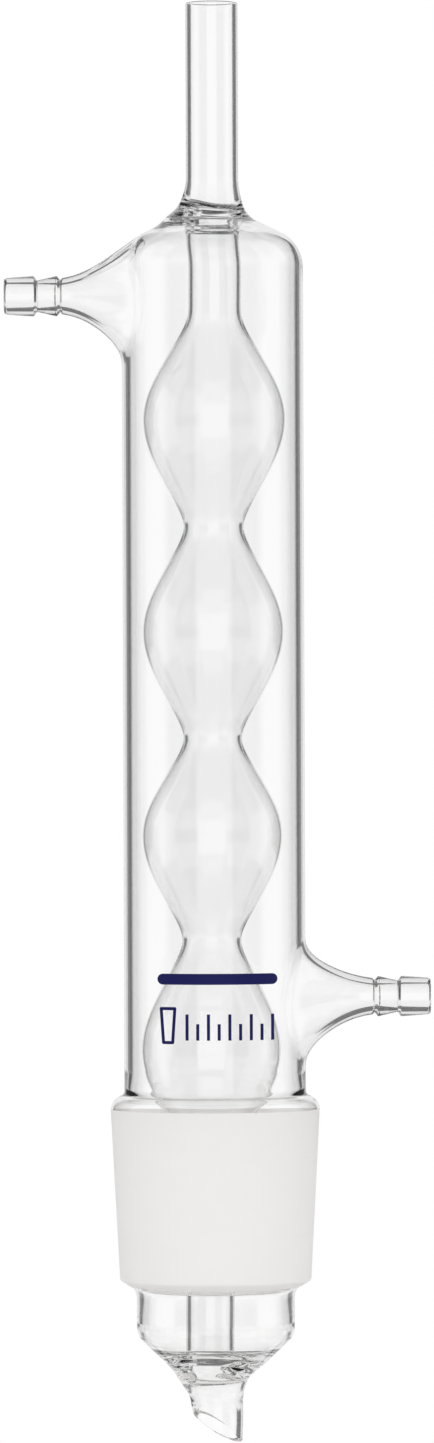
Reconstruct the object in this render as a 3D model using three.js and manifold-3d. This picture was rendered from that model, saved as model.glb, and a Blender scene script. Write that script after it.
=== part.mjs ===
// Allihn (bulb) condenser of clear borosilicate glass, with a 50/42 ground cone and a drip tip.
//
// The axis is +Z, with the vent tube up. The origin is on the axis at the wide end of the ground
// cone. The upper hose barb points to -X and the lower one to +X. All sizes are in millimetres.
// Every piece is a piece of glass that is drawn, blown or ground by itself and then fused to its
// neighbours, and a thin seam is left between one piece and the next.

import * as THREE from 'three';
import { mergeVertices } from 'three/addons/utils/BufferGeometryUtils.js';
import Module from 'manifold-3d';

const SEAM = 0.3;

// Ground cone: taper 1:10, 50 mm at the wide end, 42 mm long.
const CONE_WIDE_RADIUS = 25;
const CONE_LENGTH = 42;
const CONE_NARROW_RADIUS = CONE_WIDE_RADIUS - CONE_LENGTH / 20;
const CONE_WALL = 2.6;
const CHAMFER = { radius: 19.4, z: -44.8 };

// Water jacket: a straight tube, drawn in to a dome at its top.
const JACKET_RADIUS = 21.7;
const JACKET_WALL = 1.8;
const JACKET_FOOT = 4.2;
const DOME = { z: 201, bend: 9.5, slope: THREE.MathUtils.degToRad(26), rimRadius: 10.8 };

// Bowl below the cone: a straight wall, a 45 degree cone, and the seal with the drip tip.
const BOWL_RADIUS = 18.9;
const BOWL_WALL = 1.4;
const BOWL_BEND = { z: -52, radius: 5 };
const BOWL_RIM = { radius: 10.2, z: -62.6 };

// Straight tubes on the axis.
const TUBE_RADIUS = 6.25;
const TUBE_WALL = 1.05;
const VENT_TOP = 264.6;
const VENT_FLARE = { start: 221.5, radius: 7.6, innerRadius: 6, z: 216 };
const TOP_SEAL_FOOT = 209.2;
const BOTTOM_SEAL = { top: -59, foot: -66.6, radius: 7.3, wall: 1.25 };
const TIP_STRAIGHT = -70.2;
const TIP_MIDDLE = -75.7;
const TIP_BEVEL = THREE.MathUtils.degToRad(28.4);
const TIP_FRONT_BEVEL = THREE.MathUtils.degToRad(12.4);

// Bulbs of the inner tube, from the top down. Each runs from one neck to the next.
const BULB_WALL = 1.1;
const BULB_CENTRES = [164.8, 114.1, 65.3, 14.1];
const BULB_RADII = [17, 16.8, 16.7, 16.6];
const NECK_HEIGHTS = [190.1, 139.2, 88.6, 40.4, -10.2];
const NECK_RADII = [6.25, 6.9, 6.7, 6.8, 6.25];
const BULB_FULLNESS = 1.4;

// Side arms: a flare from the jacket wall to the hose barb.
const UPPER_ARM = { z: 194.5, side: -1, reach: 14.1 };
const LOWER_ARM = { z: 26.8, side: 1, reach: 15.9 };
const ARM_RADIUS = 4.4;
const ARM_FOOT_RADIUS = 16;
const ARM_HOLE_RADIUS = 10;

// Hose barb: two ridges behind a narrower mouth.
const BARB = { length: 14, bore: 3, mouth: 4.1, ridge: 4.85, valley: 4.2, ridges: [7.6, 13.1] };

// Flats round each piece, and steps along half a bulb.
const ROUND = 32;
const BULB_ROUND = 28;
const BARB_ROUND = 24;
const BULB_STEPS = 5;
const ARM_STEPS = 6;

const wasm = await Module();
wasm.setup();

const clearGlass = { color: 0xe6eeec, roughness: 0.04, metalness: 0, transparent: true, opacity: 0.4 };
const frostedGlass = { color: 0xebe8e5, roughness: 0.6, metalness: 0 };

const condenser = new THREE.Group();

function addPiece(name, geometry, look = clearGlass) {
  const piece = new THREE.Mesh(geometry, new THREE.MeshStandardMaterial(look));
  piece.name = name;
  condenser.add(piece);
}

// Outlines are lists of points (radius, height), and run upwards.
function outline(startRadius, startHeight, draw, divisions = 3) {
  const path = new THREE.Path();
  path.moveTo(startRadius, startHeight);
  draw(path);
  return path.getPoints(divisions);
}

function corners(...pairs) {
  return pairs.map(([radius, height]) => new THREE.Vector2(radius, height));
}

// The outline of the inside of a wall of even thickness, square to the outside at each end.
function inward(points, wall) {
  return points.map((point, i) => {
    const before = points[Math.max(i - 1, 0)];
    const after = points[Math.min(i + 1, points.length - 1)];
    const along = after.clone().sub(before).normalize();
    return new THREE.Vector2(point.x - wall * along.y, point.y + wall * along.x);
  });
}

// A hollow piece: the outside outline upwards and the inside one back down, turned about +Z.
function turned(outside, inside, segments = ROUND) {
  const loop = [...outside, ...[...inside].reverse(), outside[0]];
  return new THREE.LatheGeometry(loop, segments).rotateX(Math.PI / 2);
}

function tube(radius, wall, bottom, top) {
  const outside = corners([radius, bottom], [radius, top]);
  return turned(outside, inward(outside, wall));
}

function toManifold(geometry) {
  const bare = geometry.clone();
  bare.deleteAttribute('normal');
  bare.deleteAttribute('uv');
  const merged = mergeVertices(bare, 1e-4);
  const mesh = new wasm.Mesh({
    numProp: 3,
    vertProperties: new Float32Array(merged.attributes.position.array),
    triVerts: new Uint32Array(merged.index.array),
  });
  return new wasm.Manifold(mesh);
}

function fromManifold(solid) {
  const mesh = solid.getMesh();
  const geometry = new THREE.BufferGeometry();
  geometry.setAttribute('position', new THREE.BufferAttribute(mesh.vertProperties, 3));
  geometry.setIndex(new THREE.BufferAttribute(mesh.triVerts, 1));
  geometry.computeVertexNormals();
  return geometry;
}

function cut(geometry, ...tools) {
  const solid = tools.reduce((body, tool) => body.subtract(toManifold(tool)), toManifold(geometry));
  return fromManifold(solid);
}

// ---- Water jacket ----

// The jacket's outside, from its foot to the rim of the dome, with a margin added all round.
function jacketOutline(margin = 0) {
  const radius = JACKET_RADIUS + margin;
  const bend = DOME.bend + margin;
  const bendCentre = radius - bend;
  const top = Math.PI / 2 - DOME.slope;
  const endOfBend = { radius: bendCentre + bend * Math.cos(top), z: DOME.z + bend * Math.sin(top) };
  const rimHeight = endOfBend.z + (endOfBend.radius - DOME.rimRadius) * Math.tan(DOME.slope);
  return outline(radius, JACKET_FOOT, (path) => {
    path.lineTo(radius, DOME.z);
    path.absarc(bendCentre, DOME.z, bend, 0, top, false);
    path.lineTo(DOME.rimRadius, rimHeight);
  });
}

function sideHole(arm) {
  const depth = JACKET_RADIUS;
  const hole = new THREE.CylinderGeometry(ARM_HOLE_RADIUS, ARM_HOLE_RADIUS, depth, BARB_ROUND);
  return hole.rotateZ(Math.PI / 2).translate(arm.side * (JACKET_RADIUS / 4 + depth), 0, arm.z);
}

const jacketOutside = jacketOutline();
const jacketShell = turned(jacketOutside, inward(jacketOutside, JACKET_WALL));
const jacket = cut(jacketShell, sideHole(UPPER_ARM), sideHole(LOWER_ARM));

// ---- Side arms ----

function jacketRadiusAt(height) {
  const above = Math.max(height - DOME.z, 0);
  const bendTop = DOME.bend * Math.cos(DOME.slope);
  if (above < bendTop) {
    return JACKET_RADIUS - DOME.bend + Math.sqrt(DOME.bend ** 2 - above ** 2);
  }
  const bendRadius = JACKET_RADIUS - DOME.bend * (1 - Math.sin(DOME.slope));
  return bendRadius - (above - bendTop) / Math.tan(DOME.slope);
}

// The arm is turned as a trumpet along X, and its foot is then wrapped on to the jacket.
function sideArm(arm) {
  const sunk = -1;
  const outside = outline(ARM_FOOT_RADIUS, sunk, (path) => {
    path.lineTo(ARM_FOOT_RADIUS, 0);
    path.bezierCurveTo(9.8, 0.2, 5.2, arm.reach * 0.5, ARM_RADIUS, arm.reach - SEAM);
  }, ARM_STEPS);
  const inside = outline(ARM_HOLE_RADIUS + 0.5, sunk, (path) => {
    path.lineTo(ARM_HOLE_RADIUS + 0.5, 0);
    path.bezierCurveTo(7.4, 0.6, 3.7, arm.reach * 0.45, BARB.bore, arm.reach - SEAM);
  }, ARM_STEPS);
  const trumpet = turned(outside, inside, BULB_ROUND).rotateY((arm.side * Math.PI) / 2);
  const places = trumpet.attributes.position;
  for (let i = 0; i < places.count; i += 1) {
    const [out, y, z] = [arm.side * places.getX(i), places.getY(i), places.getZ(i) + arm.z];
    const round = Math.max(jacketRadiusAt(z) ** 2 - y ** 2, 0);
    const closeness = (1 - THREE.MathUtils.clamp(out / arm.reach, 0, 1)) ** 2;
    const foot = THREE.MathUtils.lerp(JACKET_RADIUS, Math.sqrt(round), closeness);
    places.setXYZ(i, arm.side * (out + foot), y, z);
  }
  return cut(trumpet, jacketEnvelope);
}

const envelopeOutside = jacketOutline(SEAM);
const envelopeTop = envelopeOutside[envelopeOutside.length - 1].y;
const envelopeLoop = [...corners([0, JACKET_FOOT]), ...envelopeOutside, ...corners([0, envelopeTop])];
const jacketEnvelope = new THREE.LatheGeometry(envelopeLoop, ROUND).rotateX(Math.PI / 2);

function hoseBarb(arm) {
  const { length, bore, mouth, ridge, valley, ridges } = BARB;
  const [firstRidge, secondRidge] = ridges.map((distance) => length - distance);
  const outside = corners(
    [valley, 0],
    [ridge, secondRidge - 0.35],
    [ridge, secondRidge],
    [valley, firstRidge - 0.7],
    [ridge, firstRidge - 0.3],
    [ridge, firstRidge],
    [mouth, length - 0.4],
    [mouth - 0.3, length],
  );
  const inside = corners([bore, 0], [bore, length]);
  const barb = turned(outside, inside, BARB_ROUND).rotateY((arm.side * Math.PI) / 2);
  return barb.translate(arm.side * (JACKET_RADIUS + arm.reach), 0, arm.z);
}

// ---- Inner tube ----

function bulb(index) {
  const [top, bottom] = [NECK_HEIGHTS[index], NECK_HEIGHTS[index + 1] + SEAM];
  const centre = BULB_CENTRES[index];
  const half = (endHeight, neckRadius) => Array.from({ length: BULB_STEPS }, (_, i) => {
    const share = 1 - i / BULB_STEPS;
    const swell = Math.cos((share * Math.PI) / 2) ** BULB_FULLNESS;
    const radius = THREE.MathUtils.lerp(neckRadius, BULB_RADII[index], swell);
    return new THREE.Vector2(radius, THREE.MathUtils.lerp(centre, endHeight, share));
  });
  const lower = half(bottom, NECK_RADII[index + 1]);
  const upper = half(top, NECK_RADII[index]).reverse();
  const outside = [...lower, new THREE.Vector2(BULB_RADII[index], centre), ...upper];
  return turned(outside, inward(outside, BULB_WALL), BULB_ROUND);
}

// ---- Seals, joint and drip tip ----

function ventTube() {
  const { start, radius, innerRadius, z } = VENT_FLARE;
  const inner = TUBE_RADIUS - TUBE_WALL;
  const outside = outline(radius, z + SEAM, (path) => {
    path.quadraticCurveTo(TUBE_RADIUS, (start + z) / 2, TUBE_RADIUS, start);
    path.lineTo(TUBE_RADIUS, VENT_TOP);
  });
  const inside = outline(innerRadius, z + SEAM, (path) => {
    path.quadraticCurveTo(inner, (start + z) / 2, inner, start);
    path.lineTo(inner, VENT_TOP);
  });
  return turned(outside, inside);
}

// Thick ring whose skirt meets the dome's rim, square to its wall.
function topRingSeal() {
  const rim = jacketOutside[jacketOutside.length - 1];
  const upSlope = new THREE.Vector2(-Math.cos(DOME.slope), Math.sin(DOME.slope));
  const skirt = rim.clone().addScaledVector(upSlope, 1.3 * SEAM);
  const [, skirtInside] = inward([rim, skirt], JACKET_WALL);
  const inner = TUBE_RADIUS - TUBE_WALL;
  const outside = [
    ...outline(TUBE_RADIUS, TOP_SEAL_FOOT, (path) => {
      path.quadraticCurveTo(TUBE_RADIUS + 0.2, skirtInside.y, skirtInside.x, skirtInside.y);
    }),
    ...outline(skirt.x, skirt.y, (path) => {
      path.quadraticCurveTo(8, 214, VENT_FLARE.radius, VENT_FLARE.z);
    }),
  ];
  const inside = outline(inner, TOP_SEAL_FOOT, (path) => {
    path.quadraticCurveTo(inner - 0.5, 213, VENT_FLARE.innerRadius, VENT_FLARE.z);
  });
  return turned(outside, inside);
}

function jointShoulder() {
  const outside = outline(CONE_WIDE_RADIUS, SEAM, (path) => {
    path.bezierCurveTo(CONE_WIDE_RADIUS, 2, JACKET_RADIUS, 1.8, JACKET_RADIUS, JACKET_FOOT - SEAM);
  }, 5);
  const inside = outline(CONE_WIDE_RADIUS - CONE_WALL, SEAM, (path) => {
    const inner = JACKET_RADIUS - JACKET_WALL;
    path.bezierCurveTo(CONE_WIDE_RADIUS - CONE_WALL, 1.8, inner, 1.6, inner, JACKET_FOOT - SEAM);
  }, 5);
  return turned(outside, inside);
}

function groundJoint() {
  const outside = corners(
    [CHAMFER.radius, CHAMFER.z],
    [CONE_NARROW_RADIUS, -CONE_LENGTH],
    [CONE_WIDE_RADIUS, 0],
  );
  const inside = corners(
    [BOWL_RADIUS - BOWL_WALL, CHAMFER.z],
    [CONE_NARROW_RADIUS - CONE_WALL, -CONE_LENGTH + 2],
    [CONE_WIDE_RADIUS - CONE_WALL, 0],
  );
  return turned(outside, inside);
}

function jacketBowl() {
  const bend = BOWL_BEND.radius;
  const outside = outline(BOWL_RIM.radius, BOWL_RIM.z, (path) => {
    const turn = Math.PI / 4;
    const centre = BOWL_RADIUS - bend;
    path.lineTo(centre + bend * Math.cos(turn), BOWL_BEND.z - bend * Math.sin(turn));
    path.absarc(centre, BOWL_BEND.z, bend, -turn, 0, false);
    path.lineTo(BOWL_RADIUS, CHAMFER.z - SEAM);
  });
  return turned(outside, inward(outside, BOWL_WALL));
}

function bottomRingSeal() {
  const { top, foot, radius, wall } = BOTTOM_SEAL;
  const inner = TUBE_RADIUS - TUBE_WALL;
  const reach = BOWL_RIM.radius - 0.7 * SEAM;
  const outside = [
    ...outline(radius, foot, (path) => {
      path.quadraticCurveTo(8.2, BOWL_RIM.z - 1.6, reach, BOWL_RIM.z - 0.7 * SEAM);
    }),
    ...outline(reach - 0.7 * BOWL_WALL, BOWL_RIM.z + 0.7 * BOWL_WALL, (path) => {
      path.quadraticCurveTo(TUBE_RADIUS + 0.3, BOWL_RIM.z + 0.8, TUBE_RADIUS, top);
    }),
  ];
  const inside = outline(radius - wall, foot, (path) => {
    path.quadraticCurveTo(inner - 0.9, (top + foot) / 2, inner, top);
  });
  return turned(outside, inside);
}

// The end is cut obliquely, so that the long side is at +X.
function dripTip() {
  const { foot, radius, wall } = BOTTOM_SEAL;
  const flare = (tubeRadius, rimRadius) => outline(tubeRadius, TIP_MIDDLE, (path) => {
    path.lineTo(tubeRadius, TIP_STRAIGHT);
    path.quadraticCurveTo(tubeRadius, foot - 1.8, rimRadius, foot - SEAM);
  });
  const tip = turned(flare(TUBE_RADIUS, radius), flare(TUBE_RADIUS - wall, radius - wall));
  const places = tip.attributes.position;
  for (let i = 0; i < places.count; i += 1) {
    if (places.getZ(i) < TIP_STRAIGHT - SEAM) {
      const sideways = places.getX(i) * Math.tan(TIP_BEVEL);
      const frontways = -places.getY(i) * Math.tan(TIP_FRONT_BEVEL);
      places.setZ(i, places.getZ(i) - sideways - frontways);
    }
  }
  return tip;
}

addPiece('vent_tube', ventTube());
addPiece('top_ring_seal', topRingSeal());
addPiece('jacket_tube', jacket);
addPiece('upper_side_arm', sideArm(UPPER_ARM));
addPiece('upper_hose_barb', hoseBarb(UPPER_ARM));
addPiece('lower_side_arm', sideArm(LOWER_ARM));
addPiece('lower_hose_barb', hoseBarb(LOWER_ARM));
addPiece('inner_tube_top', tube(TUBE_RADIUS, TUBE_WALL, NECK_HEIGHTS[0] + SEAM, TOP_SEAL_FOOT - SEAM));
for (let index = 0; index < BULB_CENTRES.length; index += 1) {
  addPiece(`bulb_${index + 1}`, bulb(index));
}
addPiece('outlet_tube', tube(TUBE_RADIUS, TUBE_WALL, BOTTOM_SEAL.top + SEAM, NECK_HEIGHTS[4]));
addPiece('joint_shoulder', jointShoulder());
addPiece('ground_joint', groundJoint(), frostedGlass);
addPiece('jacket_bowl', jacketBowl());
addPiece('bottom_ring_seal', bottomRingSeal());
addPiece('drip_tip', dripTip());

export default condenser;
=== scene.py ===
import math

import bpy
import numpy as np
from mathutils import Matrix, Vector
from mathutils.geometry import delaunay_2d_cdt


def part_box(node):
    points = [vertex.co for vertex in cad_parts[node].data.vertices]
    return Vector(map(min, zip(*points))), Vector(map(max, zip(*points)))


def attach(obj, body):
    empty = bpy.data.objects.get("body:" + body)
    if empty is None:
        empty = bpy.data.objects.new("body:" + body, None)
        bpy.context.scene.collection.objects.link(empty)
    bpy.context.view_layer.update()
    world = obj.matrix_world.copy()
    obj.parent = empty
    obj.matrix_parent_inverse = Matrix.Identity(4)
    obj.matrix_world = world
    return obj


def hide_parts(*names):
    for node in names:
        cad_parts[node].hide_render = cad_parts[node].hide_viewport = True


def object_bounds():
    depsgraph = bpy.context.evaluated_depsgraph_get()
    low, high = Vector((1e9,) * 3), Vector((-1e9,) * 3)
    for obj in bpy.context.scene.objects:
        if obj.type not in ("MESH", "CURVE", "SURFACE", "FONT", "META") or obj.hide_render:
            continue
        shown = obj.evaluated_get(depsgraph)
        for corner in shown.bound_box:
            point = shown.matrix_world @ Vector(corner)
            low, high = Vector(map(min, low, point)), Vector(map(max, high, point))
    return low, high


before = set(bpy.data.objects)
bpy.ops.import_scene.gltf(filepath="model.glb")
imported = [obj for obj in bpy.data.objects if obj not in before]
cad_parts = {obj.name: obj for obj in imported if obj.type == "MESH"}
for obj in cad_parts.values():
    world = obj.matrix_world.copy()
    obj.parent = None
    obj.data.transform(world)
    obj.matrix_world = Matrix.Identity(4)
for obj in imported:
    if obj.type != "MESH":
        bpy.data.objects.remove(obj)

cad_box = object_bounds()

# Lengths are in millimetres until mesh_piece turns them into metres.
MM = 0.001
ROUND = 160
RING = 120

# ---- Driving dimensions, read from the frame where a node's box gives them ----


def box_mm(node):
    low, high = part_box(node)
    return np.array(low) / MM, np.array(high) / MM


VENT_TOP = box_mm("vent_tube")[1][2]
VENT_RIM = 0.525
JACKET_RADIUS = box_mm("jacket_tube")[1][1]
JACKET_WALL = 1.8
CONE_RADIUS = box_mm("ground_joint")[1][1]
BOWL_RADIUS = box_mm("jacket_bowl")[1][1]
TUBE_RADIUS = box_mm("outlet_tube")[1][1]
TUBE_BORE = TUBE_RADIUS - 1.05
THIN_BORE = TUBE_RADIUS - 0.8
OUTLET_RADIUS = TUBE_RADIUS - 0.5
OUTLET_BORE = OUTLET_RADIUS - 0.9
DOME_WALL = 1.2
DOME_Z = 201.0
DOME_BEND = 9.5
DOME_SLOPE = math.radians(26)
DOME_RIM_RADIUS = 10.8
BOWL_BEND = 5.0
BOWL_BEND_Z = -52
BOWL_RIM_RADIUS = 9.8

BULB_NAMES = ["bulb_1", "bulb_2", "bulb_3", "bulb_4"]
BULB_CENTRES = [164.8, 114.1, 65.3, 14.1]
BULB_RADII = [box_mm(name)[1][1] for name in BULB_NAMES]
NECK_HEIGHTS = [190.1, 139.2, 88.6, 40.4, -10.2]
NECK_RADII = [TUBE_RADIUS, 6.9, 6.7, 6.8, TUBE_RADIUS]
BULB_FULLNESS = 1.4
NECK_WALL = 1.05
BULB_WALL = 0.38
WALL_GATHERING = 9

TIP_END = -75.7
TIP_STRAIGHT = -70.5

ARMS = {
    "upper": {"z": 194.5, "side": -1, "reach": 14.1},
    "lower": {"z": 26.8, "side": 1, "reach": 15.9},
}
ARM_RADIUS = 4.4
ARM_BORE = 2.8


# ---- Outlines: (radius, height) points in order of height ----


def line(start, end, step):
    count = max(2, math.ceil(math.dist(start, end) / step) + 1)
    return np.linspace(start, end, count)


def bezier(*controls, count=24):
    t = np.linspace(0, 1, count)[:, None]
    a, b, c, d = [np.array(p, float) for p in controls]
    return (1 - t) ** 3 * a + 3 * (1 - t) ** 2 * t * b + 3 * (1 - t) * t**2 * c + t**3 * d


def arc(centre, radius, start, end, count=24):
    angle = np.radians(np.linspace(start, end, count))
    return np.stack([centre[0] + radius * np.cos(angle), centre[1] + radius * np.sin(angle)], 1)


def joined(*stretches):
    """One outline from stretches that meet end to end."""
    points = [stretches[0]]
    for stretch in stretches[1:]:
        gap = np.linalg.norm(stretch[0] - points[-1][-1])
        points.append(stretch[1:] if gap < 1e-6 else stretch)
    return np.concatenate(points)


def right_normals(points):
    """Unit normals on the right-hand side of the outline's direction."""
    steps = np.diff(points, axis=0)
    lengths = np.linalg.norm(steps, axis=1)
    along = steps / lengths[:, None]
    tangent = np.empty_like(points)
    tangent[0], tangent[-1] = along[0], along[-1]
    weighted = along[:-1] * lengths[1:, None] + along[1:] * lengths[:-1, None]
    tangent[1:-1] = weighted / np.linalg.norm(weighted, axis=1)[:, None]
    return np.stack([tangent[:, 1], -tangent[:, 0]], 1)


class Outline:
    """Stretches joined into one rising outline, with its normals."""

    def __init__(self, *stretches):
        self.points = joined(*stretches)
        self.normals = right_normals(self.points)

    def at(self, height):
        """Radius, normal radius and normal height at a height."""
        heights = self.points[:, 1]
        radius = np.interp(height, heights, self.points[:, 0])
        normal_r = np.interp(height, heights, self.normals[:, 0])
        normal_z = np.interp(height, heights, self.normals[:, 1])
        size = np.hypot(normal_r, normal_z)
        return radius, normal_r / size, normal_z / size

    def between(self, bottom, top):
        """Points and normals from one height up to another."""
        heights = self.points[:, 1]
        inside = (heights > bottom + 1e-4) & (heights < top - 1e-4)
        ends = [self.at(h) for h in (bottom, top)]
        low, high = [np.array([[e[0], h]]) for e, h in zip(ends, (bottom, top), strict=True)]
        low_n, high_n = [np.array([[e[1], e[2]]]) for e in ends]
        points = np.concatenate([low, self.points[inside], high])
        normals = np.concatenate([low_n, self.normals[inside], high_n])
        return points, normals


def eased(values, reach):
    """Evenly spaced values with their sharp bends rounded off."""
    weights = np.exp(-(np.linspace(-2, 2, 4 * reach + 1) ** 2))
    padded = np.pad(values, 2 * reach, "reflect", reflect_type="odd")
    return np.convolve(padded, weights / weights.sum(), "valid")


def bulb_string():
    """The outside of the bulbs with a little straight tube at each end, and the wall."""
    heights = np.linspace(NECK_HEIGHTS[-1] - 4, NECK_HEIGHTS[0] + 4, 341)
    radii = np.full(len(heights), TUBE_RADIUS)
    walls = np.full(len(heights), TUBE_RADIUS - THIN_BORE)
    for i, centre in enumerate(BULB_CENTRES):
        for neck, radius in ((i, NECK_RADII[i]), (i + 1, NECK_RADII[i + 1])):
            share = (heights - centre) / (NECK_HEIGHTS[neck] - centre)
            here = (share >= 0) & (share <= 1)
            swell = np.cos(share[here] * math.pi / 2) ** BULB_FULLNESS
            radii[here] = radius + (BULB_RADII[i] - radius) * swell
            walls[here] = BULB_WALL + (NECK_WALL - BULB_WALL) * (1 - swell) ** WALL_GATHERING
    return np.stack([eased(radii, 3), heights], 1), eased(walls, 4)


dome_centre = (JACKET_RADIUS - DOME_BEND, DOME_Z)
outside_arc = arc(dome_centre, DOME_BEND, 0, 90 - math.degrees(DOME_SLOPE))
dome_walls = np.linspace(JACKET_WALL, DOME_WALL, len(outside_arc))
inside_arc = outside_arc - (outside_arc - dome_centre) / DOME_BEND * dome_walls[:, None]
dome_fall = math.tan(DOME_SLOPE)
rim_height = outside_arc[-1][1] + (outside_arc[-1][0] - DOME_RIM_RADIUS) * dome_fall
rim = (DOME_RIM_RADIUS, rim_height)
bowl_arc = arc((BOWL_RADIUS - BOWL_BEND, BOWL_BEND_Z), BOWL_BEND, -45, 0)
bowl_rim = (BOWL_RIM_RADIUS, bowl_arc[0][1] - (bowl_arc[0][0] - 10.2))
inner_jacket = JACKET_RADIUS - JACKET_WALL

# Heights at which one piece of glass ends and the next begins.
CUT = {
    "vent": 216.2,
    "dome_outside": rim[1],
    "dome_inside": 211.0,
    "tube_top": 208.2,
    "jacket_foot": 6.2,
    "cone_top": 0.0,
    "frost_end": -42.4,
    "bowl_top": -44.9,
    "bowl_outside": bowl_rim[1],
    "bowl_inside": -59.35,
    "outlet_foot": -57.3,
    "tip_top": -66.5,
}


def sunk(outline, bottom, top, walls):
    """The outline moved in by the wall, with what would fold over left out and the bends eased."""
    points, normals = outline.between(bottom, top)
    heights, depths = zip(*walls, strict=True)
    places = points - normals * np.interp(points[:, 1], heights, depths)[:, None]
    rising = np.maximum.accumulate(places[:, 1])
    places = places[np.concatenate([[True], places[1:, 1] > rising[:-1] + 0.02])]
    heights = np.arange(places[0][1], places[-1][1], 0.15)
    radii = np.interp(heights, places[:, 1], places[:, 0])
    return np.stack([eased(radii, 3), heights], 1)


outside = Outline(
    line((TUBE_RADIUS - 0.3, TIP_END), (TUBE_RADIUS, TIP_STRAIGHT), 0.8),
    bezier((TUBE_RADIUS, TIP_STRAIGHT), (TUBE_RADIUS, -67.2), (8.0, bowl_rim[1] - 2.2), bowl_rim),
    line(bowl_rim, bowl_arc[0], 0.8),
    bowl_arc,
    line((BOWL_RADIUS, BOWL_BEND_Z), (BOWL_RADIUS, -45.9), 1.5),
    bezier((BOWL_RADIUS, -45.9), (BOWL_RADIUS, -44.2), (19.2, -43.2), (20.1, -42.6)),
    line((20.1, -42.6), (22.5, -41.1), 0.8),
    bezier((22.5, -41.1), (22.76, -40.94), (22.88, -40.75), (CONE_RADIUS - 2.1, -40.4), count=10),
    line((CONE_RADIUS - 2.1, -40.4), (CONE_RADIUS - 0.02, -0.4), 3),
    bezier((CONE_RADIUS - 0.02, -0.4), (CONE_RADIUS + 0.05, 1.1), (24.2, 2.4), (23.0, 3.0)),
    bezier((23.0, 3.0), (22.3, 3.35), (JACKET_RADIUS, 3.5), (JACKET_RADIUS, 4.5), count=16),
    line((JACKET_RADIUS, 4.5), (JACKET_RADIUS, DOME_Z), 6),
    outside_arc,
    line(outside_arc[-1], rim, 0.6),
    bezier(rim, (8.2, 213.52), (7.0, 215.5), (TUBE_RADIUS, 222.0), count=30),
    line((TUBE_RADIUS, 222.0), (TUBE_RADIUS, VENT_TOP - VENT_RIM), 2),
)


def widening(below, above):
    """The outlet tube's change of radius, hidden inside the cone."""
    return bezier((below, -22), (below, -19), (above, -19), (above, -16), count=10)


string_points, string_walls = bulb_string()
string_bore = string_points - right_normals(string_points) * string_walls[:, None]

# Outside of the inner tube: the near wall of the water space, from its floor to its roof.
water_inner = Outline(
    bezier((7.6, -59.55), (6.7, -59.5), (OUTLET_RADIUS, -58.9), (OUTLET_RADIUS, -57.4)),
    line((OUTLET_RADIUS, -57.4), (OUTLET_RADIUS, -22), 2),
    widening(OUTLET_RADIUS, TUBE_RADIUS),
    string_points,
    line((TUBE_RADIUS, 194.6), (TUBE_RADIUS, 207.5), 1.5),
    bezier((TUBE_RADIUS, 207.5), (TUBE_RADIUS, 209.6), (6.6, 211.7), (8.3, 211.7)),
)

# Wall of the joint at a few heights. The shoulder is blown thin.
jacket_walls = [
    (-50, 1.2),
    (-45, 1.6),
    (-41, 1.9),
    (-6, 1.6),
    (-1, 0.6),
    (3.4, 0.6),
    (5.6, JACKET_WALL),
]

# Inside of the jacket: the far wall of the water space, from its floor to its roof.
lower_wall = sunk(outside, -51.0, 9.0, jacket_walls)
roof_start = inside_arc[-1] + (inside_arc[-1][0] - 11.2) * np.array([-1, dome_fall])
water_outer = Outline(
    bezier((7.6, -59.55), (10.5, -59.5), (13.2, -58.6), (15.0, -57.0)),
    bezier((15.0, -57.0), (16.6, -55.58), (17.45, -54.2), lower_wall[0]),
    lower_wall,
    line((inner_jacket, 10), (inner_jacket, DOME_Z), 6),
    inside_arc,
    line(inside_arc[-1], roof_start, 0.6),
    bezier(roof_start, roof_start + [-1.4, 1.4 * dome_fall], (9.4, 211.7), (8.3, 211.7)),
)

# Bore of the inner tube, from the drip tip to the vent's rim.
bore = Outline(
    line((4.75, TIP_END), (4.95, -71.3), 0.8),
    bezier((4.95, -71.3), (5.2, -69.4), (5.9, -67.4), (6.5, -65.2)),
    bezier((6.5, -65.2), (6.9, -63.7), (5.6, -62.6), (5.35, -61.0)),
    bezier((5.35, -61.0), (5.2, -59.4), (OUTLET_BORE, -59.4), (OUTLET_BORE, -56.5)),
    line((OUTLET_BORE, -56.5), (OUTLET_BORE, -22), 2),
    widening(OUTLET_BORE, THIN_BORE),
    string_bore,
    line((THIN_BORE, 194.6), (THIN_BORE, 206.0), 1.5),
    bezier((THIN_BORE, 206.0), (THIN_BORE, 208.4), (5.45, 208.4), (5.4, 210.0)),
    bezier((5.4, 210.0), (5.35, 211.4), (5.1, 211.4), (5.15, 212.4)),
    bezier((5.15, 212.4), (5.2, 213.4), (5.8, 213.4), (5.8, 214.8)),
    bezier((5.8, 214.8), (5.8, 217.5), (TUBE_BORE, 219.0), (TUBE_BORE, 223.0)),
    line((TUBE_BORE, 223.0), (TUBE_BORE, VENT_TOP - VENT_RIM), 2),
)


# ---- Hand-made unevenness ----


def smooth(low, high, value):
    t = np.clip((value - low) / (high - low), 0, 1)
    return t * t * (3 - 2 * t)


def bell(value, centre, width):
    return np.exp(-(((value - centre) / width) ** 2))


LEAN_AT_TOP = 0.6
LEAN_OVER_TUBE = -1.9
TIP_LEAN = 0.35
HEAP = 1.5
SEAL_TILT = 0.12
CUT_TO_FRONT = 0.22
CUT_TO_SIDE = -0.54


def inner_share(radius, low_part):
    """1 on the inner tube and 0 on the jacket, joint and bowl round it."""
    edge = np.where(low_part, 8.0, 17.3)
    return 1 - smooth(edge, edge + np.where(low_part, 4.0, 2.1), radius)


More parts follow.
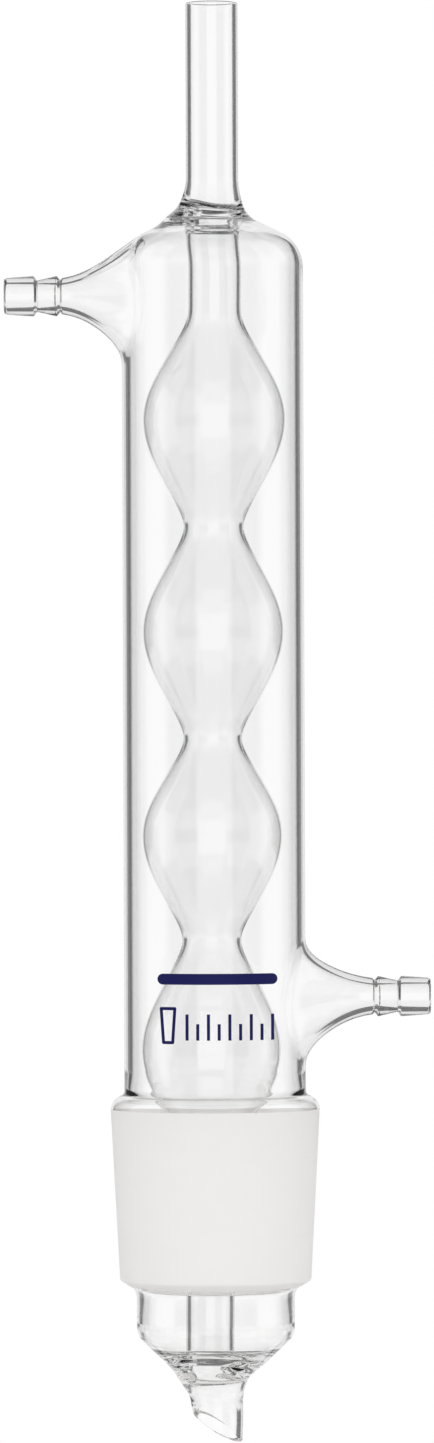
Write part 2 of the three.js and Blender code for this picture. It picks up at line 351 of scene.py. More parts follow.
def by_hand(points):
    """The shape as a glassblower leaves it: the inner tube leans, the seals sit a little askew with
    glass heaped on the left of the upper one, and the tip is cut aslant."""
    x, y, z = points.T
    radius = np.hypot(x, y)
    free = smooth(-66, -58, z) * (1 - smooth(200, 209, z))
    along_tube = LEAN_AT_TOP + LEAN_OVER_TUBE * (205 - z) / 250
    lean = inner_share(radius, z < -12) * free * along_tube + TIP_LEAN * smooth(66, 74, -z)

    near_axis = 1 - smooth(7.5, 11, radius)
    raised = near_axis * x * SEAL_TILT * bell(z, -65.5, 2.5)
    heap_foot = 212.6 - 2.2 * smooth(7, 10, radius)
    heaped = smooth(heap_foot, heap_foot + 2, z) * (1 - smooth(216, 222, z))
    heaped = heaped * (1 - smooth(9, 16, radius)) * (1 - smooth(-9, 3, x))
    raised = raised + HEAP * heaped

    cut_share = np.clip((TIP_STRAIGHT - z) / (TIP_STRAIGHT - TIP_END), 0, None)
    oblique = cut_share * (CUT_TO_FRONT * y + CUT_TO_SIDE * x)
    return np.stack([x + lean, y, z + raised + oblique], 1)


def shaped_by_hand(points, normals):
    """by_hand on the points, and the normals turned to match."""
    step = 1e-3
    columns = []
    for axis in range(3):
        shift = np.zeros(3)
        shift[axis] = step
        columns.append((by_hand(points + shift) - by_hand(points - shift)) / (2 * step))
    jacobian = np.stack(columns, 2)
    turned = np.linalg.solve(jacobian.transpose(0, 2, 1), normals[:, :, None])[:, :, 0]
    return by_hand(points), turned / np.linalg.norm(turned, axis=1)[:, None]


# ---- Sheets: a part of a piece's surface, as points, normals, faces and a material ----

GLASS, SEAM, FROST = 0, 1, 2


def sheet_faces(rows, columns):
    """Quads of a grid whose columns close on themselves."""
    row, column = np.meshgrid(np.arange(rows - 1), np.arange(columns), indexing="ij")
    beside = (column + 1) % columns
    corners = (row * columns + column, row * columns + beside)
    above = ((row + 1) * columns + beside, (row + 1) * columns + column)
    return np.stack([*corners, *above], 2).reshape(-1, 4)


def turned_sheet(points, normals, material, count=ROUND):
    """An outline turned about Z."""
    angle = 2 * math.pi * np.arange(count) / count
    ring = np.stack([np.cos(angle), np.sin(angle)], 1)
    place = np.concatenate(
        [points[:, None, :1] * ring[None], np.repeat(points[:, None, 1:], count, 1)], 2
    )
    facing = np.concatenate(
        [normals[:, None, :1] * ring[None], np.repeat(normals[:, None, 1:], count, 1)], 2
    )
    return place.reshape(-1, 3), facing.reshape(-1, 3), sheet_faces(len(points), count), material


def seam_between(start, end):
    points = np.array([start, end], float)
    return points, right_normals(points)


def turned_piece(*runs, count=ROUND):
    """Sheets of a piece turned about Z. A run is (points, normals, material), in order round the
    glass with the glass on its left; a gap between two runs is closed by a seam."""
    sheets = []
    for i, (points, normals, material) in enumerate(runs):
        sheets.append(turned_sheet(points, normals, material, count))
        following = runs[(i + 1) % len(runs)][0][0]
        if np.linalg.norm(points[-1] - following) > 1e-4:
            sheets.append(turned_sheet(*seam_between(points[-1], following), SEAM, count))
    return sheets


def up(outline, bottom, top, material=GLASS):
    """A run along the outside of the glass, upwards."""
    points, normals = outline.between(bottom, top)
    return points, normals, material


def down(outline, top, bottom, material=GLASS):
    """A run along the inside of the glass, downwards."""
    points, normals = outline.between(bottom, top)
    return points[::-1], -normals[::-1], material


def facing_out(faces, points, normals):
    """A sheet's faces, turned all together so that they face the way the normals point."""
    a, b, c = (points[faces[:, i]] for i in range(3))
    along = np.einsum("ij,ij->", np.cross(b - a, c - a), normals[faces].sum(1))
    return faces[:, ::-1] if along < 0 else faces


def mesh_piece(name, sheets, materials, shaped=True):
    """One object from sheets: shared points are merged and each corner keeps its own normal."""
    points = np.concatenate([sheet[0] for sheet in sheets])
    normals = np.concatenate([sheet[1] for sheet in sheets])
    if shaped:
        points, normals = shaped_by_hand(points, normals)
    starts = np.cumsum([0] + [len(sheet[0]) for sheet in sheets])
    faces = [
        facing_out(np.asarray(sheet[2]) + start, points, normals)
        for sheet, start in zip(sheets, starts, strict=False)
    ]
    _, first, same = np.unique(np.round(points, 4), axis=0, return_index=True, return_inverse=True)
    merged = [face for block in faces for face in same.ravel()[block].tolist()]
    kinds = np.repeat([sheet[3] for sheet in sheets], [len(block) for block in faces]).tolist()
    mesh = bpy.data.meshes.new(name)
    mesh.from_pydata((points[first] * MM).tolist(), [], merged)
    for material in materials:
        mesh.materials.append(material)
    mesh.polygons.foreach_set("material_index", kinds)
    mesh.polygons.foreach_set("use_smooth", [True] * len(kinds))
    corners = np.concatenate([block.ravel() for block in faces])
    mesh.normals_split_custom_set(normals[corners].tolist())
    piece = bpy.data.objects.new(name, mesh)
    bpy.context.scene.collection.objects.link(piece)
    return piece


def fitted(piece, slot, *nodes):
    """Puts a piece on the body in the place of its nodes, and hides the nodes. The slot is not used.
    """
    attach(piece, "root")
    if nodes:
        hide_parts(*nodes)


# ---- Materials ----


def new_material(name):
    material = bpy.data.materials.new(name)
    material.use_nodes = True
    return material, material.node_tree, material.node_tree.nodes["Principled BSDF"]


def linked_noise(tree, scale, detail, stretch=(1, 1, 1)):
    place = tree.nodes.new("ShaderNodeTexCoord")
    mapping = tree.nodes.new("ShaderNodeMapping")
    mapping.inputs["Scale"].default_value = stretch
    noise = tree.nodes.new("ShaderNodeTexNoise")
    noise.inputs["Scale"].default_value = scale
    noise.inputs["Detail"].default_value = detail
    tree.links.new(place.outputs["Object"], mapping.inputs["Vector"])
    tree.links.new(mapping.outputs["Vector"], noise.inputs["Vector"])
    return noise


def linked_tone(tree, source, low, high):
    """A colour that runs from one tone to another with a noise."""
    tone = tree.nodes.new("ShaderNodeValToRGB")
    tone.color_ramp.elements[0].color = (*low, 1)
    tone.color_ramp.elements[1].color = (*high, 1)
    tree.links.new(source, tone.inputs["Fac"])
    return tone.outputs["Color"]


def linked_range(tree, source, low, high):
    spread = tree.nodes.new("ShaderNodeMapRange")
    spread.inputs["To Min"].default_value = low
    spread.inputs["To Max"].default_value = high
    tree.links.new(source, spread.inputs["Value"])
    return spread.outputs["Result"]


def linked_bump(tree, shader, source, strength, distance):
    bump = tree.nodes.new("ShaderNodeBump")
    bump.inputs["Strength"].default_value = strength
    bump.inputs["Distance"].default_value = distance
    tree.links.new(source, bump.inputs["Height"])
    tree.links.new(bump.outputs["Normal"], shader.inputs["Normal"])


GLASS_IOR = 1.473


def glass_material(name, tint, draw_scale, draw_stretch, strength):
    """Clear borosilicate glass with the faint lines and waves that drawing and blowing leave."""
    material, tree, shader = new_material(name)
    shader.inputs["Base Color"].default_value = (*tint, 1)
    shader.inputs["IOR"].default_value = GLASS_IOR
    shader.inputs["Transmission Weight"].default_value = 1
    waves = linked_noise(tree, draw_scale, 1.0, draw_stretch)
    roughness = linked_range(tree, waves.outputs["Fac"], 0.0, 0.012)
    tree.links.new(roughness, shader.inputs["Roughness"])
    linked_bump(tree, shader, waves.outputs["Fac"], strength, 0.0002)
    return material


def seam_material():
    """Where two pieces are melted into one there is no surface, so it doesn't show at all."""
    material, _, shader = new_material("fused_seam")
    shader.inputs["Alpha"].default_value = 0
    return material


SCATTERED_THROUGH = 0.4


def frosted_material():
    """Glass ground matt: a fine grain that scatters light, with faint grinding bands round it."""
    material, tree, shader = new_material("frosted_glass")
    grain = linked_noise(tree, 5200, 3.0)
    bands = linked_noise(tree, 420, 2.0, (0.12, 0.12, 1.6))
    tone = linked_tone(tree, bands.outputs["Fac"], (0.955, 0.94, 0.93), (0.975, 0.96, 0.95))
    tree.links.new(tone, shader.inputs["Base Color"])
    tree.links.new(linked_range(tree, grain.outputs["Fac"], 0.5, 0.7), shader.inputs["Roughness"])
    shader.inputs["IOR"].default_value = GLASS_IOR
    shader.inputs["Specular IOR Level"].default_value = 0
    linked_bump(tree, shader, grain.outputs["Fac"], 0.35, 0.00004)
    through = tree.nodes.new("ShaderNodeBsdfTranslucent")
    tree.links.new(tone, through.inputs["Color"])
    mix = tree.nodes.new("ShaderNodeMixShader")
    mix.inputs["Fac"].default_value = SCATTERED_THROUGH
    tree.links.new(shader.outputs[0], mix.inputs[1])
    tree.links.new(through.outputs[0], mix.inputs[2])
    tree.links.new(mix.outputs[0], tree.nodes["Material Output"].inputs["Surface"])
    return material


def enamel_material():
    """Navy enamel, fired on: satin, with the slight unevenness of a screen print."""
    material, tree, shader = new_material("navy_enamel")
    mottle = linked_noise(tree, 2600, 3.0)
    tone = linked_tone(tree, mottle.outputs["Fac"], (0.003, 0.0035, 0.05), (0.007, 0.008, 0.09))
    tree.links.new(tone, shader.inputs["Base Color"])
    tree.links.new(linked_range(tree, mottle.outputs["Fac"], 0.35, 0.55), shader.inputs["Roughness"])
    shader.inputs["Specular IOR Level"].default_value = 0.15
    linked_bump(tree, shader, mottle.outputs["Fac"], 0.2, 0.00003)
    return material


def floor_material():
    material, tree, shader = new_material("pale_floor")
    mottle = linked_noise(tree, 3, 2.0)
    tone = linked_tone(tree, mottle.outputs["Fac"], (0.93, 0.93, 0.93), (0.96, 0.96, 0.96))
    tree.links.new(tone, shader.inputs["Base Color"])
    shader.inputs["Roughness"].default_value = 0.9
    return material


drawn_glass = glass_material("drawn_glass", (0.991, 0.992, 0.991), 60, (1, 1, 0.05), 0.03)
blown_glass = glass_material("blown_glass", (0.991, 0.992, 0.991), 45, (1, 1, 0.6), 0.04)
seal_glass = glass_material("seal_glass", (0.984, 0.986, 0.984), 90, (1, 1, 1), 0.03)
fused_seam = seam_material()
frosted_glass = frosted_material()
navy_enamel = enamel_material()

DRAWN = [drawn_glass, fused_seam]
BLOWN = [blown_glass, fused_seam]
SEALED = [seal_glass, fused_seam]


# ---- Pieces turned about the axis ----


def round_rim(outer, inner, height):
    """Fire-polished rim from the outside over to the bore."""
    centre = ((outer + inner) / 2, height)
    points = arc(centre, (outer - inner) / 2, 0, 180, 16)
    return points, right_normals(points), GLASS


def vent_tube():
    rim_base = VENT_TOP - VENT_RIM
    sheets = turned_piece(
        up(outside, CUT["vent"], rim_base),
        round_rim(TUBE_RADIUS, TUBE_BORE, rim_base),
        down(bore, rim_base, CUT["vent"]),
    )
    fitted(mesh_piece("vent_tube_glass", sheets, DRAWN), "clear_glass", "vent_tube")


def top_ring_seal():
    roof = water_inner.points[-1][1]
    sheets = turned_piece(
        up(outside, CUT["dome_outside"], CUT["vent"]),
        down(bore, CUT["vent"], CUT["tube_top"]),
        up(water_inner, CUT["tube_top"], roof),
        down(water_outer, roof, CUT["dome_inside"]),
    )
    fitted(mesh_piece("top_ring_seal_glass", sheets, SEALED), "seal_glass", "top_ring_seal")


def inner_tube_piece(name, top, bottom, materials, nodes):
    sheets = turned_piece(up(water_inner, bottom, top), down(bore, top, bottom))
    fitted(mesh_piece(name, sheets, materials), "clear_glass", *nodes)


def joint_shoulder():
    sheets = turned_piece(
        up(outside, CUT["cone_top"], CUT["jacket_foot"]),
        down(water_outer, CUT["jacket_foot"], CUT["cone_top"]),
    )
    fitted(mesh_piece("joint_shoulder_glass", sheets, BLOWN), "clear_glass", "joint_shoulder")


def ground_joint():
    sheets = turned_piece(
        up(outside, CUT["bowl_top"], CUT["frost_end"]),
        up(outside, CUT["frost_end"], CUT["cone_top"], FROST),
        down(water_outer, CUT["cone_top"], CUT["bowl_top"]),
    )
    piece = mesh_piece("ground_joint_glass", sheets, [blown_glass, fused_seam, frosted_glass])
    fitted(piece, "frosted_glass", "ground_joint")


def jacket_bowl():
    sheets = turned_piece(
        up(outside, CUT["bowl_outside"], CUT["bowl_top"]),
        down(water_outer, CUT["bowl_top"], CUT["bowl_inside"]),
    )
    fitted(mesh_piece("jacket_bowl_glass", sheets, BLOWN), "clear_glass", "jacket_bowl")


def bottom_ring_seal():
    floor_z = water_inner.points[0][1]
    sheets = turned_piece(
        up(outside, CUT["tip_top"], CUT["bowl_outside"]),
        down(water_outer, CUT["bowl_inside"], floor_z),
        up(water_inner, floor_z, CUT["outlet_foot"]),
        down(bore, CUT["outlet_foot"], CUT["tip_top"]),
    )
    piece = mesh_piece("bottom_ring_seal_glass", sheets, SEALED)
    fitted(piece, "seal_glass", "bottom_ring_seal")


def drip_tip():
    outer, inner = outside.points[0][0], bore.points[0][0]
    points = arc(((outer + inner) / 2, TIP_END), (outer - inner) / 2, -180, 0, 14)
    rounding = (points * [1, 0.5] + [0, 0.5 * TIP_END], right_normals(points), GLASS)
    sheets = turned_piece(
        rounding,
        up(outside, TIP_END, CUT["tip_top"]),
        down(bore, CUT["tip_top"], TIP_END),
    )
    fitted(mesh_piece("drip_tip_glass", sheets, DRAWN), "clear_glass", "drip_tip")


# ---- Side arms and the jacket that they grow out of ----


FOOT_REACH = 13
FOOT_ALONG = 3
FOOT_BELOW = 1.5
FLARE_STARTS = (0.15, 0.31)
FLARE_END = 0.42
FLARE_WIDER = 0.8
HOLE_MARGIN = 0.35


def on_jacket(arm, phi, reach):
    """Places on the jacket's outside, seen along the arm's axis at an angle and a distance."""
    y = reach * np.cos(phi)
    z = arm["z"] + reach * np.sin(phi)
    radius, normal_r, normal_z = outside.at(z)
    theta = np.arctan2(y, arm["side"] * np.sqrt(radius**2 - y**2))
    return theta, z, radius, normal_r, normal_z


def wall_places(theta, z, radius, normal_r, normal_z, depth):
    """The same places sunk into the wall by a depth, with their normals."""
    r = radius - normal_r * depth
    place = np.stack([r * np.cos(theta), r * np.sin(theta), z - normal_z * depth], 1)
    facing = np.stack([normal_r * np.cos(theta), normal_r * np.sin(theta), normal_z], 1)
    return place, facing


def foot_reach(phi):
    """The flare's foot: wider along the jacket than round it, and longest below."""
    return FOOT_REACH + FOOT_ALONG * np.sin(phi) ** 2 - FOOT_BELOW * np.sin(phi)


def flare(arm):
    """The outside of a side arm, from the jacket wall to the barb, as rows of rings. It leaves
    the wall without a bend, so that no edge shows where it starts."""
    phi = 2 * math.pi * np.arange(RING) / RING
    reach = foot_reach(phi)
    foot, facing = wall_places(*on_jacket(arm, phi, reach), 0)
    nearer, _ = wall_places(*on_jacket(arm, phi, reach - 0.05), 0)
    inward = nearer - foot
    inward /= np.linalg.norm(inward, axis=1)[:, None]
    spoke = np.stack([np.zeros(RING), np.cos(phi), np.sin(phi)], 1)
    axis = np.array([arm["side"], 0, 0])
    end = [0, 0, arm["z"]] + axis * (JACKET_RADIUS + arm["reach"]) + spoke * ARM_RADIUS
    first, second = [foot + inward * (share * reach)[:, None] for share in FLARE_STARTS]
    fourth = end - axis * FLARE_END * arm["reach"] + spoke * FLARE_WIDER
    third = (second + fourth) / 2
    places = bezier_rows([foot, first, second, third, fourth, end], 48)
    normals = grid_normals(places, arm)
    normals[0], normals[-1] = facing, spoke
    return places, normals


def bezier_rows(controls, count):
    """Rows of points along one curve per ring point, all of the same degree."""
    degree = len(controls) - 1
    t = np.linspace(0, 1, count)[:, None, None]
    return sum(
        math.comb(degree, i) * (1 - t) ** (degree - i) * t**i * control
        for i, control in enumerate(controls)
    )


def grid_normals(places, arm):
    """Normals of a grid of rings round an arm, pointing away from its axis."""
    round_it = np.roll(places, -1, 1) - np.roll(places, 1, 1)
    normals = np.cross(round_it, np.gradient(places, axis=0))
    normals /= np.linalg.norm(normals, axis=2)[:, :, None]
    away = places[-1] - [places[-1, 0, 0], 0, arm["z"]]
    return normals * np.sign(np.einsum("ij,ij->", normals[-1], away))


def ring_seam(first, second, facing):
    """A band between two rings, all facing one way."""
    places = np.concatenate([first, second])
    return places, np.concatenate([facing, facing]), sheet_faces(2, len(first)), SEAM


def side_arm(key):
    arm = ARMS[key]
    outer, outer_n = flare(arm)
    walls = np.linspace(JACKET_WALL, ARM_RADIUS - ARM_BORE, len(outer))
    inner = outer - outer_n * walls[:, None, None]
    inner_n = grid_normals(inner, arm)
    inner_n[0], inner_n[-1] = outer_n[0], outer_n[-1]
    grid = sheet_faces(len(outer), RING)
    foot_out = outer[0] - [0, 0, arm["z"]]
    foot_out[:, 0] = 0
    foot_out /= np.linalg.norm(foot_out, axis=1)[:, None]
    end_out = np.tile([arm["side"], 0, 0], (RING, 1)).astype(float)
    sheets = [
        (outer.reshape(-1, 3), outer_n.reshape(-1, 3), grid, GLASS),
        (inner.reshape(-1, 3), -inner_n.reshape(-1, 3), grid, GLASS),
        ring_seam(outer[0], inner[0], foot_out),
        ring_seam(outer[-1], inner[-1], end_out),
    ]
    name = f"{key}_side_arm"
    fitted(mesh_piece(f"{name}_glass", sheets, BLOWN), "clear_glass", name)
    return outer[0], inner[0]


def rounded(corners, softness):
    """An outline through corners, each rounded over a given length."""
    corners = [np.array(c, float) for c in corners]
    points = [corners[0]]
    triples = zip(corners, corners[1:], corners[2:], softness, strict=False)
    for before, corner, after, soft in triples:
        start = corner + (before - corner) / np.linalg.norm(before - corner) * soft
        end = corner + (after - corner) / np.linalg.norm(after - corner) * soft
        t = np.linspace(0, 1, 9)[:, None]
        points.extend((1 - t) ** 2 * start + 2 * (1 - t) * t * corner + t**2 * end)
    points.append(corners[-1])
    return np.array(points)


BARB_LENGTH = 14.0
BARB_RIDGE = 4.86
BARB_WAIST = 3.85
BARB_MOUTH = 4.1


def barb_loop():
    """Section of a barb as (radius, distance from the arm): two ridges outside, then the bore."""
    outer = rounded(
        [
            (ARM_RADIUS, 0),
            (4.3, 0.2),
            (BARB_WAIST, 0.6),
            (BARB_RIDGE, 1.4),
            (BARB_WAIST - 0.1, 6.1),
            (BARB_RIDGE, 6.95),
            (4.4, 13.3),
            (BARB_MOUTH, BARB_LENGTH),
        ],
        [0.1, 0.2, 0.3, 0.3, 0.35, 0.3],
    )
    mouth = rounded(
        [
            (BARB_MOUTH, BARB_LENGTH),
            (3.9, BARB_LENGTH + 0.05),
            (3.3, BARB_LENGTH),
            (3.02, 13.3),
            (2.95, 7),
        ],
        [0.1, 0.25, 0.3],
    )
    inside = rounded([(2.95, 7), (2.95, 5), (ARM_BORE, 1.2), (ARM_BORE, 0)], [0.8, 0.4])
    return joined(outer, mouth[1:], inside)


def hose_barb(key):
    arm = ARMS[key]
    side, height = arm["side"], arm["z"]
    base = side * (JACKET_RADIUS + arm["reach"])
    loop = barb_loop()
    sheets = []
    for place, facing, faces, kind in turned_piece((loop, right_normals(loop), GLASS), count=RING):
        # The turning axis goes to X, and the first spoke to +Y.
        x, y, z = place.T
        place = np.stack([base + side * z, x, height + y], 1)
        x, y, z = facing.T
        sheets.append((place, np.stack([side * z, x, y], 1), faces, kind))
    name = f"{key}_hose_barb"
    fitted(mesh_piece(f"{name}_glass", sheets, BLOWN), "clear_glass", name)


def wall_grid(points, normals, travel):
    """A wall turned about Z as one grid of points, with the places they have on the unrolled wall.
    It opens at the back."""
    angle = math.pi / 2 - 2 * math.pi + 2 * math.pi * np.arange(ROUND + 1) / ROUND
    ring = np.stack([np.cos(angle), np.sin(angle)], 1)
    count = len(angle)
    flat = np.stack([np.tile(angle * JACKET_RADIUS, len(points)), np.repeat(travel, count)], 1)
    turned = []
    for rows in (points, normals):
        across = (rows[:, None, :1] * ring).reshape(-1, 2)
        turned.append(np.concatenate([across, np.repeat(rows[:, 1:], count, 0)], 1))
    return flat, *turned


def holed_sheet(outline, depth, bottom, top, feet, sign):
    """A wall of the jacket, turned about Z, with the side arms' feet cut out of it."""
    points, normals = outline.between(bottom, top)
    travel = np.concatenate([[0], np.cumsum(np.linalg.norm(np.diff(points, axis=0), axis=1))])
    flat, places, facings = wall_grid(points, normals, travel)
    phi = 2 * math.pi * np.arange(RING) / RING
    holes = []
    for arm, ring in feet:
        spot = on_jacket(arm, phi, foot_reach(phi))
        place, facing = wall_places(*spot, depth)
        angle = np.where(spot[0] > math.pi / 2, spot[0] - 2 * math.pi, spot[0])
        along = np.interp(place[:, 2], points[:, 1], travel)
        holes.append((np.stack([angle * JACKET_RADIUS, along], 1), ring, facing))
    clear = ~np.any([within(loop, flat, HOLE_MARGIN) for loop, _, _ in holes], axis=0)
    flat, places, facings = flat[clear], places[clear], facings[clear]
    edges = []
    for loop, ring, facing in holes:
        edges += [(len(flat) + i, len(flat) + (i + 1) % RING) for i in range(RING)]
        flat = np.concatenate([flat, loop])
        places = np.concatenate([places, ring])
        facings = np.concatenate([facings, facing])
    result = delaunay_2d_cdt([Vector(p) for p in flat], edges, [], 0, 1e-7)
    origin = [source[0] for source in result[3]]
    triangles = np.array([[origin[v] for v in face] for face in result[2]])
    middle = flat[triangles].mean(1)
    keep = ~np.any([within(loop, middle, 0) for loop, _, _ in holes], axis=0)
    return places, sign * facings, triangles[keep], GLASS


def within(loop, points, margin):
    """Which points lie inside a closed loop, or within a margin of its points."""
    x, y = points.T
    inside = np.zeros(len(points), bool)
    for (x0, y0), (x1, y1) in zip(loop, np.roll(loop, -1, 0), strict=True):
        crosses = (y0 > y) != (y1 > y)
        with np.errstate(divide="ignore", invalid="ignore"):
            inside ^= crosses & (x < (x1 - x0) * (y - y0) / (y1 - y0) + x0)
        if margin:
            inside |= (x - x0) ** 2 + (y - y0) ** 2 < margin**2
    return inside


def jacket_tube(feet):
    """The water jacket. feet holds each arm's outer and inner foot ring."""
    outer_feet, inner_feet = [[(ARMS[key], feet[key][i]) for key in feet] for i in (0, 1)]
    foot, top_out, top_in = CUT["jacket_foot"], CUT["dome_outside"], CUT["dome_inside"]
    outer_at, inner_at = [
        [np.array([o.at(z)[0], z]) for z in heights]
        for o, heights in ((outside, (foot, top_out)), (water_outer, (foot, top_in)))
    ]
    sheets = [
        holed_sheet(outside, 0, foot, top_out, outer_feet, 1),
        holed_sheet(water_outer, JACKET_WALL, foot, top_in, inner_feet, -1),
        turned_sheet(*seam_between(inner_at[0], outer_at[0]), SEAM),
        turned_sheet(*seam_between(outer_at[1], inner_at[1]), SEAM),
    ]
    for key, (outer, inner) in feet.items():
        middle = [0, 0, ARMS[key]["z"]]
        facing = middle - outer
        facing[:, 0] = 0
        sheets.append(ring_seam(outer, inner, facing / np.linalg.norm(facing, axis=1)[:, None]))
    fitted(mesh_piece("jacket_glass", sheets, DRAWN), "clear_glass", "jacket_tube")


# ---- Print: fired-on enamel marks, a hair proud of the jacket's front ----

INK = 0
STROKE = 0.75
INK_LIFT = 0.05
BAR = {"from": -13.6, "to": 14.9, "z": 31.6, "height": 2.6}
CONE_MARK = {"from": -13.1, "to": -9.1, "low": 16.2, "high": 25.0, "taper": 0.55}
TICKS = {"from": -6.6, "to": 13.7, "count": 9, "low": 17.1, "long": 6.2, "short": 3.9}


def on_front(flat, lift):
    """Places on the jacket's front for points seen from the front as (x, height)."""
    radius = JACKET_RADIUS + lift
    return np.stack([flat[:, 0], -np.sqrt(radius**2 - flat[:, 0] ** 2), flat[:, 1]], 1)


def bar_edges(start, end, low, high):
    """Lower and upper edge of a level bar with round ends."""
    round_off = (high - low) / 2
    turn = np.linspace(0, math.pi / 2, 7)
    reach = round_off * (1 - np.cos(turn))
    middle = line((start + round_off, 0), (end - round_off, 0), 0.8)[1:-1, 0]
    x = np.concatenate([start + reach, middle, end - reach[::-1]])
    from_end = np.minimum(np.minimum(x - start, end - x), round_off)
    half = np.sqrt(np.clip(round_off**2 - (round_off - from_end) ** 2, 0.0004, None))
    centre = (low + high) / 2
    return np.stack([x, centre - half], 1), np.stack([x, centre + half], 1)


def ink_strip(lower, upper):
    """A thin layer of enamel between two edges given as (x, height) points."""
    count = len(lower)
    loop = np.concatenate([lower, upper[::-1]])
    middle = np.concatenate([lower + upper, (lower + upper)[::-1]]) / 2
    i = np.arange(count - 1)
    faces = np.stack([i, i + 1, 2 * count - 2 - i, 2 * count - 1 - i], 1)
    front, back = on_front(loop, INK_LIFT), on_front(loop, INK_LIFT / 5)
    facing = front * [1, 1, 0] / (JACKET_RADIUS + INK_LIFT)
    aside = np.stack([loop[:, 0] - middle[:, 0], np.zeros(2 * count), loop[:, 1] - middle[:, 1]], 1)
    aside /= np.linalg.norm(aside, axis=1)[:, None]
    rim = sheet_faces(2, 2 * count)
    return [
        (front, facing, faces, INK),
        (back, -facing, faces, INK),
        (np.concatenate([front, back]), np.concatenate([aside, aside]), rim, INK),
    ]


def enamel_print():
    """A plain bar over a small cone outline and a row of ticks."""
    half = BAR["height"] / 2
    strips = [bar_edges(BAR["from"], BAR["to"], BAR["z"] - half, BAR["z"] + half)]
    left, right, low, high = (CONE_MARK[key] for key in ("from", "to", "low", "high"))
    taper = CONE_MARK["taper"]
    strips.append(bar_edges(left, right, high - STROKE, high))
    strips.append(bar_edges(left + taper, right - taper, low, low + STROKE))
    for edge, shift in ((left, 1), (right, -1)):
        slant = np.array([[edge + shift * taper, low + 0.3], [edge, high - 0.3]])
        strips.append((slant, slant + [shift * STROKE, 0]))
    for i, x in enumerate(np.linspace(TICKS["from"], TICKS["to"], TICKS["count"])):
        top = TICKS["low"] + (TICKS["short"] if i % 2 else TICKS["long"])
        edge = np.array([[x - STROKE / 2, TICKS["low"]], [x - STROKE / 2, top]])
        strips.append((edge, edge + [STROKE, 0]))
    sheets = [sheet for strip in strips for sheet in ink_strip(*strip)]
    fitted(mesh_piece("enamel_print", sheets, [navy_enamel], shaped=False), "navy_enamel")


# ---- Build ----

vent_tube()
top_ring_seal()
feet = {key: side_arm(key) for key in ARMS}
jacket_tube(feet)
for key in ARMS:
    hose_barb(key)
inner_tube_piece("inner_tube_top_glass", CUT["tube_top"], NECK_HEIGHTS[0], DRAWN, ["inner_tube_top"])
for i, name in enumerate(BULB_NAMES):
    inner_tube_piece(f"{name}_glass", NECK_HEIGHTS[i], NECK_HEIGHTS[i + 1], BLOWN, [name])
inner_tube_piece("outlet_tube_glass", NECK_HEIGHTS[-1], CUT["outlet_foot"], DRAWN, ["outlet_tube"])
joint_shoulder()
ground_joint()
jacket_bowl()
bottom_ring_seal()
drip_tip()
enamel_print()


# ---- Floor, light and camera, in metres ----

FLOOR_BELOW = 0.22
FLOOR_RADIUS = 1.6
FLOOR_SIDES = 96


def add_floor():
    """A pale round floor. The condenser hangs over it, as in a stand."""
    height = cad_box[0][2] - FLOOR_BELOW
    turn = 2 * math.pi * np.arange(FLOOR_SIDES) / FLOOR_SIDES
    ring = [(FLOOR_RADIUS * math.cos(a), FLOOR_RADIUS * math.sin(a), height) for a in turn]
    mesh = bpy.data.meshes.new("floor")
    mesh.from_pydata(ring, [], [list(range(FLOOR_SIDES))])
    mesh.materials.append(floor_material())
    floor = bpy.data.objects.new("floor", mesh)
    bpy.context.scene.collection.objects.link(floor)
    floor.visible_transmission = False
    floor.visible_glossy = False


# Degrees: four main panels at the front, back and sides, and four lower ones at the corners.
SIDE_PANEL = {"half_width": 24, "low": -26, "high": 50}
CORNER_PANEL = {"half_width": 20, "low": -38, "high": -9}
PANEL_SOFT = 2
PANEL_SOFT_ABOVE = 3
PANEL_LIGHT = 1.0
DARK = 0.08
# What light that has been reflected inside the glass finds, as a share of the same panels.
INNER_DARK = 0.1
INNER_LIGHT = 0.74
# What the glass mirrors.
MIRROR_DARK = 0.42
MIRROR_LIGHT = 0.1
# Light on the matt surfaces, brighter from the front, and light scattered through the ground glass.
ROOM = 1.02
ROOM_FRONT = 0.65
GLOW = 1.6


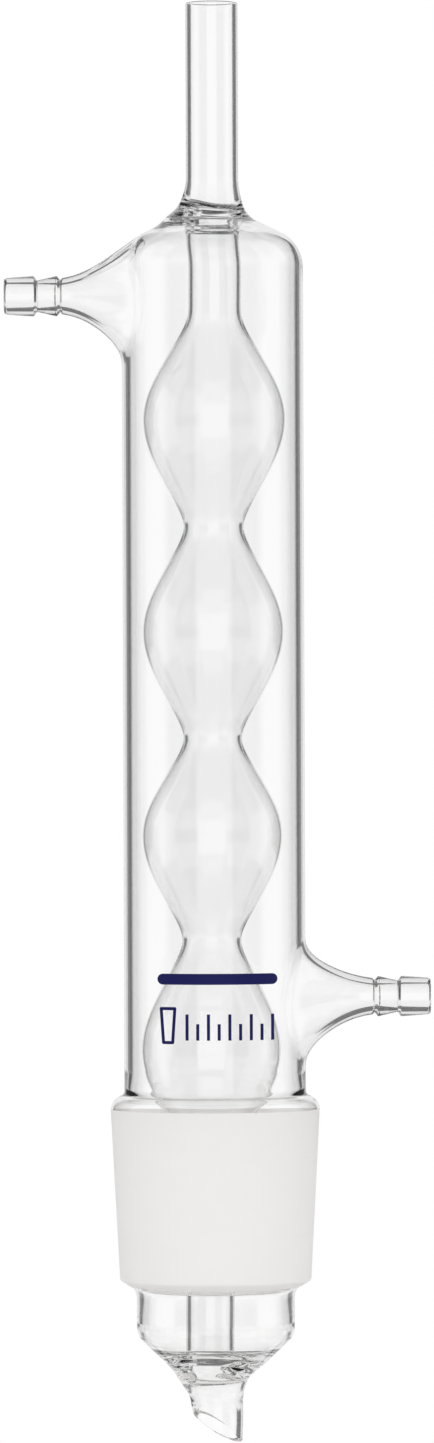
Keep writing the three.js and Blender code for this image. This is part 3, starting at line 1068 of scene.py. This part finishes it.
def add_world():
    """A plain white room. Light that comes through the glass is from soft white panels with dark
    between them, which is what draws the dark edges of clear glass."""
    world = bpy.data.worlds.new("studio")
    bpy.context.scene.world = world
    world.use_nodes = True
    tree = world.node_tree
    tree.nodes.clear()

    def math_node(operation, *values, clamp=False):
        made = tree.nodes.new("ShaderNodeMath")
        made.operation = operation
        made.use_clamp = clamp
        for i, value in enumerate(values):
            if isinstance(value, (int, float)):
                made.inputs[i].default_value = value
            else:
                tree.links.new(value, made.inputs[i])
        return made.outputs[0]

    def step_between(value, low, high):
        made = tree.nodes.new("ShaderNodeMapRange")
        made.interpolation_type = "SMOOTHSTEP"
        made.inputs["From Min"].default_value = low
        made.inputs["From Max"].default_value = high
        tree.links.new(value, made.inputs["Value"])
        return made.outputs["Result"]

    place = tree.nodes.new("ShaderNodeTexCoord")
    split = tree.nodes.new("ShaderNodeSeparateXYZ")
    tree.links.new(place.outputs["Generated"], split.inputs[0])
    x, y, z = split.outputs
    azimuth = math_node("MULTIPLY", math_node("ARCTAN2", x, y), 180 / math.pi)
    elevation = math_node("MULTIPLY", math_node("ARCSINE", z), 180 / math.pi)
    quarter = math_node("FLOORED_MODULO", math_node("ADD", azimuth, 45), 90)
    off_side = math_node("ABSOLUTE", math_node("SUBTRACT", quarter, 45))
    off_corner = math_node("SUBTRACT", 45, off_side)

    def panel(off, half_width, low, high):
        across = step_between(off, half_width + PANEL_SOFT, half_width - PANEL_SOFT)
        above = step_between(elevation, low - PANEL_SOFT, low + PANEL_SOFT)
        below = step_between(elevation, high + PANEL_SOFT_ABOVE, high - PANEL_SOFT_ABOVE)
        return math_node("MULTIPLY", across, math_node("MULTIPLY", above, below))

    side_panels = panel(off_side, **SIDE_PANEL)
    panels = math_node("ADD", side_panels, panel(off_corner, **CORNER_PANEL), clamp=True)
    through = math_node("ADD", DARK, math_node("MULTIPLY", panels, PANEL_LIGHT - DARK))
    mirrored = math_node("ADD", MIRROR_DARK, math_node("MULTIPLY", panels, MIRROR_LIGHT))
    within_glass = math_node("ADD", INNER_DARK, math_node("MULTIPLY", through, INNER_LIGHT))
    room = math_node("SUBTRACT", ROOM, math_node("MULTIPLY", y, ROOM_FRONT))
    ray = tree.nodes.new("ShaderNodeLightPath").outputs
    scattered = math_node("MULTIPLY", ray["Is Diffuse Ray"], ray["Is Transmission Ray"])

    def seen_by(kind, otherwise, level):
        mix = tree.nodes.new("ShaderNodeMix")
        tree.links.new(kind, mix.inputs[0])
        for socket, value in ((mix.inputs[2], otherwise), (mix.inputs[3], level)):
            if isinstance(value, (int, float)):
                socket.default_value = value
            else:
                tree.links.new(value, socket)
        return mix.outputs[0]

    seen = seen_by(ray["Is Glossy Ray"], room, mirrored)
    seen = seen_by(ray["Is Transmission Ray"], seen, through)
    seen = seen_by(ray["Glossy Depth"], seen, within_glass)
    seen = seen_by(ray["Diffuse Depth"], seen, room)
    seen = seen_by(scattered, seen, GLOW)
    seen = seen_by(ray["Is Camera Ray"], seen, 1.0)
    background = tree.nodes.new("ShaderNodeBackground")
    background.inputs["Color"].default_value = (1, 1, 1, 1)
    tree.links.new(seen, background.inputs["Strength"])
    out = tree.nodes.new("ShaderNodeOutputWorld")
    tree.links.new(background.outputs[0], out.inputs[0])


CAMERA_DISTANCE = 2.0
CAMERA_ROLL = math.radians(-0.2)
SHOWN_HEIGHT = 345.2 * MM
AIM_X = 0.75 * MM


def add_camera():
    low, high = cad_box
    aim = Vector((AIM_X, 0, (low[2] + high[2]) / 2))
    data = bpy.data.cameras.new("camera")
    data.sensor_fit = "VERTICAL"
    data.angle_y = 2 * math.atan(SHOWN_HEIGHT / 2 / CAMERA_DISTANCE)
    camera = bpy.data.objects.new("camera", data)
    bpy.context.scene.collection.objects.link(camera)
    level = Matrix.Rotation(math.radians(90), 4, "X")
    roll = Matrix.Rotation(CAMERA_ROLL, 4, "Z")
    place = Matrix.Translation(aim + Vector((0, -CAMERA_DISTANCE, 0)))
    camera.matrix_world = place @ level @ roll
    bpy.context.scene.camera = camera


add_floor()
add_world()
add_camera()

scene = bpy.context.scene
scene.view_settings.view_transform = "Standard"
scene.cycles.max_bounces = 40
scene.cycles.transmission_bounces = 40
scene.cycles.glossy_bounces = 12
scene.cycles.diffuse_bounces = 32
scene.cycles.transparent_max_bounces = 16
